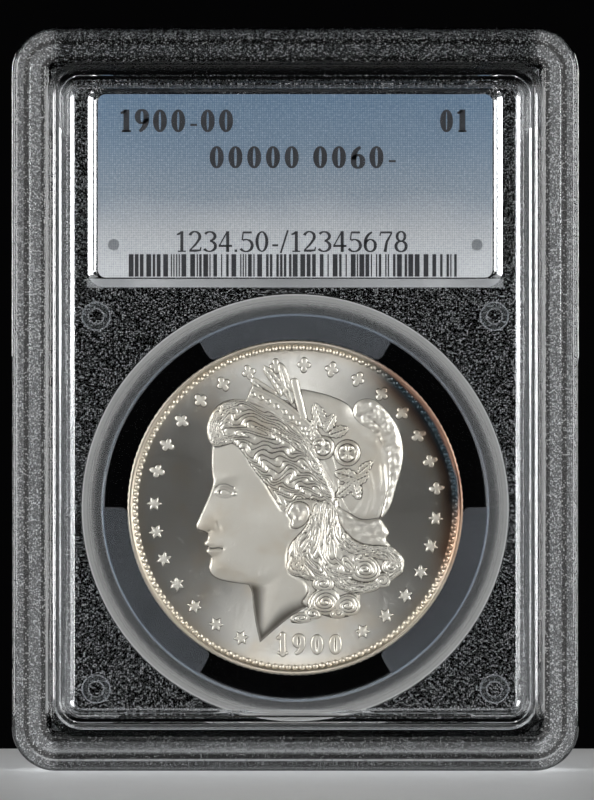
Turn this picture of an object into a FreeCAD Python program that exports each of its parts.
"""Graded coin slab: a sealed clear plastic holder with a large silver coin and its label.

Two injection-moulded clear shells meet on the mid plane and are welded all round. Between them a clear
ring grips the coin by three pads, and a pair of printed sheets lies in a pocket above it, with a foil
seal on the rear sheet. The slab stands on its bottom edge: X is its width, Z its height, and the front
faces -Y. The origin is at the middle of the bottom edge, on the mid plane. Lengths are millimetres.
"""
import FreeCAD
import Part
import math
import os

Vector = FreeCAD.Vector
FORWARD = Vector(0, -1, 0)
BACKWARD = Vector(0, 1, 0)

# Coin
coin_radius = 19.05
coin_thickness = 2.4
coin_rim_width = 0.75
coin_field_depth = 0.3
coin_reeds = 150
reed_depth = 0.12
relief_height = 0.25
star_radius = 0.85
star_rim_gap = 2.9          # coin's rim to the stars' centres
wreath_width = 2.0

# Ring that holds the coin
pad_reach = 2.65            # ring's flange to the coin's edge
pad_count = 3
pad_angle = 60.0            # degrees of the circle that each pad covers
pad_end_round = 0.9
flange_width = 2.5
ring_bevel = 0.35
ring_proud = 0.15           # ring's faces beyond the coin's
ring_clearance = 0.1        # round the ring, in its pockets
face_clearance = 0.05       # ring to each pocket floor

# Label sheets and their pocket
label_width = 44.8
label_height = 20.8
label_corner = 0.9
label_front_y = 0.6         # mid plane to the printed front face
sheet_thickness = 0.3
label_clearance = 0.2
pocket_slope = 0.9          # run of the pocket's sloping sides
lip_width = 0.4
lip_height = 0.5
pin_radius = 0.65           # pins that hold the label down
pin_side_gap = 1.8          # label edge to pin centre
pin_bottom_gap = 3.7
foil_width = 15.0
foil_height = 10.0
foil_thickness = 0.05

# How ring and label sit in the window
ring_under_ledge = 1.4      # ring pocket's reach past the window's bottom edge
ring_to_label_pocket = 0.7
label_under_ledge = 0.5     # label pocket's reach past the window's top edge
window_side_gap = 0.8       # ring or label pocket, whichever is wider, to the window's side

# Rim and ledge, from the slab's outer edge inward
corner_radius = 5.0
edge_round = 0.9            # on the outer front and rear edges
rim_land = 3.9
rim_slope = 0.8
rim_foot_radius = 3.2       # corner radius where the rim meets the ledge
side_ledge = 2.3
end_ledge = 2.2
window_slope = 0.35
window_corner = 0.9

# Depths, from the windows outward
window_thickness = 1.1
front_window_depth = 1.15   # below the front rim
rear_window_depth = 1.5
front_ledge_depth = 0.7
rear_ledge_depth = 0.8
lug_proud = 0.35            # less than the rear ledge's depth, so that slabs nest when stacked

# Stacking bead on the front ledge, with a taller lug round each corner
bead_gap = 0.7              # rim's foot to the bead
bead_foot = 0.9             # width at the foot
bead_top = 0.5              # width at the top
bead_height = 0.3
lug_reach = 6.0             # how far a lug's arms run past the corner

# Inside of both shells, from the outer edge inward
outer_wall = 1.9
rim_channel = 1.4           # hollow behind the rim
rib_width = 1.1             # inner rib, which meets the other shell
ledge_channel = 1.5         # hollow behind the ledge
rim_skin = 1.5              # plastic left over the rim's hollow
ledge_skin = 1.6
land_y = 0.35               # mid plane to either shell's inner land

# Weld joint: a tongue on the front shell in a groove of the rear shell
tongue_inset = 0.65
tongue_width = 0.6
tongue_height = 0.7
groove_clearance = 0.05
weld_thickness = 0.15       # fused plastic left between tongue tip and groove floor

# Four pegs that line the shells up
peg_radius = 0.85
peg_wall = 0.75
peg_clearance = 0.05
peg_depth = 1.0             # into the front shell's land
peg_side_gap = 2.5          # window edge to peg centre
peg_bottom_gap = 2.3
peg_top_gap = 3.3           # label pocket to peg centre

# Moulded mark in the lower right corner of the front window
mark_count = 3
mark_radius = 1.25
mark_pitch = 2.9
mark_height = 0.15
mark_side_gap = 0.45        # window edge to the row
mark_bottom_gap = 0.95

# Sizes that follow from those above
ring_inner_radius = coin_radius + pad_reach
ring_outer_radius = ring_inner_radius + flange_width
ring_thickness = coin_thickness + 2 * ring_proud
pocket_radius = ring_outer_radius + ring_clearance
pocket_floor_y = ring_thickness / 2 + face_clearance
label_back_y = 2 * sheet_thickness - label_front_y
pocket_margin = label_clearance + pocket_slope
star_circle_radius = coin_radius - coin_rim_width - star_rim_gap

rim_foot = rim_land + rim_slope
side_frame = rim_foot + side_ledge
end_frame = rim_foot + end_ledge
bead_inset = rim_foot + bead_gap
rib_inset = outer_wall + rim_channel
rib_foot = rib_inset + rib_width

coin_z = end_frame - ring_under_ledge + pocket_radius
label_pocket_bottom = coin_z + pocket_radius + ring_to_label_pocket
label_z = label_pocket_bottom + pocket_margin + label_height / 2
label_pocket_top = label_z + label_height / 2 + pocket_margin
slab_height = label_pocket_top - label_under_ledge + end_frame
slab_mid_z = slab_height / 2
window_width = max(2 * pocket_radius, label_width + 2 * pocket_margin) + 2 * window_side_gap
slab_width = window_width + 2 * side_frame

window_y = pocket_floor_y + window_thickness
front_rim_y = window_y + front_window_depth
rear_rim_y = window_y + rear_window_depth


def rounded_rect(width, height, radius, y, mid_z):
    """Closed wire of a rectangle with round corners, in the plane at depth y."""
    half_w = width / 2
    half_h = height / 2
    sag = radius * (1 - math.sqrt(0.5))
    edges = []
    last = None
    first = None
    for sx, sz in ((1, -1), (1, 1), (-1, 1), (-1, -1)):
        start = Vector(sx * (half_w - radius), y, mid_z + sz * half_h)
        middle = Vector(sx * (half_w - sag), y, mid_z + sz * (half_h - sag))
        end = Vector(sx * half_w, y, mid_z + sz * (half_h - radius))
        if sx * sz > 0:
            start, end = end, start
        if last is not None:
            edges.append(Part.LineSegment(last, start).toShape())
        else:
            first = start
        edges.append(Part.Arc(start, middle, end).toShape())
        last = end
    edges.append(Part.LineSegment(last, first).toShape())
    return Part.Wire(edges)


def plate(width, height, radius, y0, y1, mid_z=slab_mid_z):
    """Round-cornered plate between two depths."""
    face = Part.Face(rounded_rect(width, height, radius, y0, mid_z))
    return face.extrude(Vector(0, y1 - y0, 0))


def tapered_plate(size0, y0, size1, y1, mid_z=slab_mid_z):
    """Plate whose outline changes from size0 at y0 to size1 at y1. A size is (width, height, radius)."""
    wires = [rounded_rect(*size0, y0, mid_z), rounded_rect(*size1, y1, mid_z)]
    return Part.makeLoft(wires, True, True)


def edge_size(inset):
    """Outline of the slab, moved inward; its corners follow the slab's own."""
    return slab_width - 2 * inset, slab_height - 2 * inset, corner_radius - inset


def recess_size(inset):
    """Outline inside the rim; its corners are concentric with the rim's foot."""
    radius = rim_foot_radius + rim_foot - inset
    return slab_width - 2 * inset, slab_height - 2 * inset, radius


def window_size(outset):
    """Outline of the window, moved outward."""
    return window_width + 2 * outset, slab_height - 2 * (end_frame - outset), window_corner + outset


def label_pocket_size(outset):
    """Outline of the label with its clearance, moved outward."""
    grow = 2 * (label_clearance + outset)
    return label_width + grow, label_height + grow, label_corner + outset


def hoop(outer_size, inner_size, y0, y1):
    """Frame of constant section between two outlines."""
    return plate(*outer_size, y0, y1).cut(plate(*inner_size, y0, y1))


def cylinder(radius, x, z, y0, y1):
    """Round bar along Y."""
    direction = BACKWARD if y1 > y0 else FORWARD
    return Part.makeCylinder(radius, abs(y1 - y0), Vector(x, y0, z), direction)


def peg_places():
    """Centres of the four pegs, as (x, z)."""
    x = window_width / 2 - peg_side_gap
    low = end_frame + peg_bottom_gap
    high = label_pocket_bottom - peg_top_gap
    return [(-x, low), (x, low), (-x, high), (x, high)]


def pin_places():
    """Centres of the two pins over the label, as (x, z)."""
    x = label_width / 2 - pin_side_gap
    z = label_z - label_height / 2 + pin_bottom_gap
    return [(-x, z), (x, z)]


def shell_blank(side, rim_y, ledge_depth):
    """Half of the slab with its rim, ledge and window outside, and its channels and pockets inside.

    side is -1 for the front shell and 1 for the rear one.
    """
    body = plate(*edge_size(0), 0, side * rim_y)
    rim_edges = [e for e in body.Edges if abs(e.CenterOfMass.y - side * rim_y) < 1e-6]
    body = body.makeFillet(edge_round, rim_edges)

    ledge_y = side * (rim_y - ledge_depth)
    body = body.cut(tapered_plate(recess_size(rim_land), side * rim_y, recess_size(rim_foot), ledge_y))
    body = body.cut(tapered_plate(window_size(window_slope), ledge_y,
                                  window_size(0), side * window_y))

    body = body.cut(hoop(edge_size(outer_wall), edge_size(rib_inset), 0, side * (rim_y - rim_skin)))
    body = body.cut(plate(*recess_size(rib_foot), 0, side * land_y))
    body = body.cut(hoop(recess_size(rib_foot), recess_size(rib_foot + ledge_channel),
                         0, side * (rim_y - ledge_depth - ledge_skin)))
    return body.cut(cylinder(pocket_radius, 0, coin_z, 0, side * pocket_floor_y))


def stacking_bead():
    """Low bead round the front window, with a taller lug at each corner."""
    foot_y = -(front_rim_y - front_ledge_depth)
    draft = (bead_foot - bead_top) / 2

    def bead(top_y):
        outer = tapered_plate(recess_size(bead_inset), foot_y, recess_size(bead_inset + draft), top_y)
        inner = tapered_plate(recess_size(bead_inset + bead_foot), foot_y,
                              recess_size(bead_inset + bead_foot - draft), top_y)
        return outer.cut(inner)

    low = bead(foot_y - bead_height)
    tall = bead(-(front_rim_y + lug_proud))
    width = lug_reach * math.sqrt(2)
    length = 4 * rim_foot
    lugs = []
    for sx in (-1, 1):
        for top in (0, 1):
            bar = Part.makeBox(length, slab_height, width, Vector(-length / 2, -slab_mid_z, -width / 2))
            bar.rotate(Vector(0, 0, 0), BACKWARD, 45 if (sx > 0) == (top == 0) else -45)
            middle = rim_foot + rim_foot_radius / 2
            bar.translate(Vector(sx * (slab_width / 2 - middle), 0,
                                 slab_height - middle if top else middle))
            lugs.append(tall.common(bar))
    return low.multiFuse(lugs)


def moulded_mark():
    """Row of plain raised hexagons on the front window."""
    last_x = window_width / 2 - mark_side_gap - mark_radius
    mid_z = end_frame + mark_bottom_gap + mark_radius
    marks = []
    for i in range(mark_count):
        x = last_x - i * mark_pitch
        corners = []
        for k in range(7):
            a = math.radians(60 * k + 30)
            corners.append(Vector(x + mark_radius * math.cos(a), -window_y,
                                  mid_z + mark_radius * math.sin(a)))
        hexagon = Part.Face(Part.makePolygon(corners)).extrude(Vector(0, -mark_height, 0))
        marks.append(hexagon)
    return marks


def front_shell():
    """Clear front half: windows, stacking bead, weld tongue, peg sockets and label pins."""
    body = shell_blank(-1, front_rim_y, front_ledge_depth)
    body = body.fuse(stacking_bead())
    body = body.multiFuse(moulded_mark())
    body = body.cut(tapered_plate(label_pocket_size(pocket_slope), -land_y,
                                  label_pocket_size(0), -pocket_floor_y, label_z))
    tongue = hoop(edge_size(tongue_inset), edge_size(tongue_inset + tongue_width), 0, tongue_height)
    body = body.fuse(tongue)
    for x, z in peg_places():
        body = body.fuse(cylinder(peg_radius + peg_wall, x, z, -land_y, 0))
        body = body.cut(cylinder(peg_radius + peg_clearance, x, z, 0,
                                 -(land_y + peg_depth + face_clearance)))
    for x, z in pin_places():
        body = body.fuse(cylinder(pin_radius, x, z, -pocket_floor_y, -label_front_y))
    return body.removeSplitter()


def rear_shell():
    """Clear rear half: windows, weld groove, pegs, and the raised bed that the label lies on."""
    body = shell_blank(1, rear_rim_y, rear_ledge_depth)
    bed_y = label_back_y + foil_thickness
    outside = label_pocket_size(lip_width)
    body = body.fuse(plate(*outside, land_y, bed_y, label_z))
    lip = plate(*outside, bed_y, bed_y - foil_thickness - lip_height, label_z)
    lip = lip.cut(plate(*label_pocket_size(0), bed_y, bed_y - foil_thickness - lip_height, label_z))
    body = body.fuse(lip)
    for x, z in pin_places():
        body = body.fuse(cylinder(pin_radius, x, z, bed_y, label_back_y))
    groove_depth = tongue_height + weld_thickness
    body = body.cut(hoop(edge_size(tongue_inset - groove_clearance),
                         edge_size(tongue_inset + tongue_width + groove_clearance), 0, groove_depth))
    for x, z in peg_places():
        body = body.fuse(cylinder(peg_radius + peg_wall, x, z, land_y, 0))
        body = body.fuse(cylinder(peg_radius, x, z, land_y, -(land_y + peg_depth)))
    return body.removeSplitter()


def weld_bead():
    """Fused plastic at the bottom of the groove, which has to be broken to open the slab."""
    return hoop(edge_size(tongue_inset - groove_clearance),
                edge_size(tongue_inset + tongue_width + groove_clearance),
                tongue_height, tongue_height + weld_thickness)


def ring_sector(inner, outer, mid_angle, span, y0, y1):
    """Part of a flat ring round the coin's centre. Angles are in degrees, from +X towards +Z."""
    points = {}
    for name, radius in (("inner", inner), ("outer", outer)):
        for place, share in (("start", -0.5), ("middle", 0.0), ("end", 0.5)):
            a = math.radians(mid_angle + share * span)
            points[name, place] = Vector(radius * math.cos(a), y0, coin_z + radius * math.sin(a))
    wire = Part.Wire([
        Part.Arc(points["inner", "start"], points["inner", "middle"], points["inner", "end"]).toShape(),
        Part.LineSegment(points["inner", "end"], points["outer", "end"]).toShape(),
        Part.Arc(points["outer", "end"], points["outer", "middle"], points["outer", "start"]).toShape(),
        Part.LineSegment(points["outer", "start"], points["inner", "start"]).toShape(),
    ])
    return Part.Face(wire).extrude(Vector(0, y1 - y0, 0))


def coin_ring():
    """Clear ring with three pads, as thick as the coin, that grip its edge."""
    half = ring_thickness / 2
    ring = cylinder(ring_outer_radius, 0, coin_z, -half, half)
    ring = ring.cut(cylinder(ring_inner_radius, 0, coin_z, -half, half))
    inner_edges = [e for e in ring.Edges
                   if isinstance(e.Curve, Part.Circle) and abs(e.Curve.Radius - ring_inner_radius) < 1e-6]
    ring = ring.makeChamfer(ring_bevel, inner_edges)
    for i in range(pad_count):
        overlap = ring_bevel + reed_depth
        pad = ring_sector(coin_radius, ring_inner_radius + overlap, 90 + 360 / pad_count * i, pad_angle,
                          -coin_thickness / 2, coin_thickness / 2)
        tips = [e for e in pad.Edges
                if isinstance(e.Curve, Part.Line) and e.BoundBox.YLength > half
                and math.hypot(e.CenterOfMass.x, e.CenterOfMass.z - coin_z) < coin_radius + reed_depth]
        ring = ring.fuse(pad.makeFillet(pad_end_round, tips))
    return ring.removeSplitter()


def reeded_disc():
    """Coin blank with a reeded edge."""
    half = coin_thickness / 2
    points = []
    steps = 2 * coin_reeds
    for i in range(steps + 1):
        a = 2 * math.pi * (i % steps) / steps
        radius = coin_radius - (reed_depth if i % 2 else 0)
        points.append(Vector(radius * math.cos(a), -half, coin_z + radius * math.sin(a)))
    return Part.Face(Part.makePolygon(points)).extrude(Vector(0, coin_thickness, 0))


def star(x, z, y, height):
    """Six-pointed star boss."""
    points = []
    for i in range(13):
        a = math.radians(30 * i)
        radius = star_radius * (0.55 if i % 2 else 1)
        points.append(Vector(x + radius * math.cos(a), y, z + radius * math.sin(a)))
    return Part.Face(Part.makePolygon(points)).extrude(Vector(0, height, 0))


def bust():
    """Plain raised outline of a classical head with a soft cap, facing left.

    Its points are shares of the star circle's radius.
    """
    outline = [(-0.43, 0.22), (-0.52, 0.42), (-0.36, 0.62), (0.0, 0.75), (0.39, 0.68), (0.61, 0.39),
               (0.56, 0.06), (0.62, -0.3), (0.43, -0.58), (0.1, -0.69), (-0.12, -0.84), (-0.21, -0.61),
               (-0.47, -0.48), (-0.53, -0.23), (-0.56, -0.08)]
    r = star_circle_radius
    y = -(coin_thickness / 2 - coin_field_depth)
    curve = Part.BSplineCurve()
    curve.interpolate([Vector(r * x, y, coin_z + r * z) for x, z in outline], PeriodicFlag=True)
    return Part.Face(Part.Wire([curve.toShape()])).extrude(Vector(0, -relief_height, 0))


def coin():
    """Silver coin with raised rims; head and stars on the front, a wreath band and boss on the back."""
    half = coin_thickness / 2
    field_radius = coin_radius - coin_rim_width
    body = reeded_disc()
    for side in (-1, 1):
        body = body.cut(cylinder(field_radius, 0, coin_z, side * half, side * (half - coin_field_depth)))
    field_y = half - coin_field_depth
    stars = []
    for a in list(range(187, 257, 11)) + list(range(-60, 6, 11)):
        angle = math.radians(a)
        stars.append(star(star_circle_radius * math.cos(angle),
                          coin_z + star_circle_radius * math.sin(angle), -field_y, -relief_height))
    wreath = cylinder(star_circle_radius, 0, coin_z, field_y, field_y + relief_height)
    wreath = wreath.cut(cylinder(star_circle_radius - wreath_width, 0, coin_z,
                                 field_y, field_y + relief_height))
    return body.multiFuse(stars + [bust(), wreath])


def label_front_sheet():
    """Printed card that shows through the front window."""
    return plate(label_width, label_height, label_corner, -label_front_y,
                 sheet_thickness - label_front_y, label_z)


def label_rear_sheet():
    """Printed card behind it, which shows through the rear window."""
    return plate(label_width, label_height, label_corner, sheet_thickness - label_front_y,
                 label_back_y, label_z)


def hologram_foil():
    """Oval foil seal on the back of the rear sheet."""
    middle = Vector(0, label_back_y, label_z)
    side = middle + Vector(foil_width / 2, 0, 0)
    top = middle + Vector(0, 0, foil_height / 2)
    shape = Part.Ellipse(side, top, middle)
    return Part.Face(Part.Wire([shape.toShape()])).extrude(Vector(0, foil_thickness, 0))


NODES = {
    "front_shell": front_shell,
    "rear_shell": rear_shell,
    "weld_bead": weld_bead,
    "coin_ring": coin_ring,
    "coin": coin,
    "label_front_sheet": label_front_sheet,
    "label_rear_sheet": label_rear_sheet,
    "hologram_foil": hologram_foil,
}

os.makedirs("parts", exist_ok=True)
for name, make in NODES.items():
    shape = make()
    shape.exportStep(f"parts/{name}.step")
    print(name, "solids", len(shape.Solids), "valid", shape.isValid(), "volume mm3", round(shape.Volume, 2))
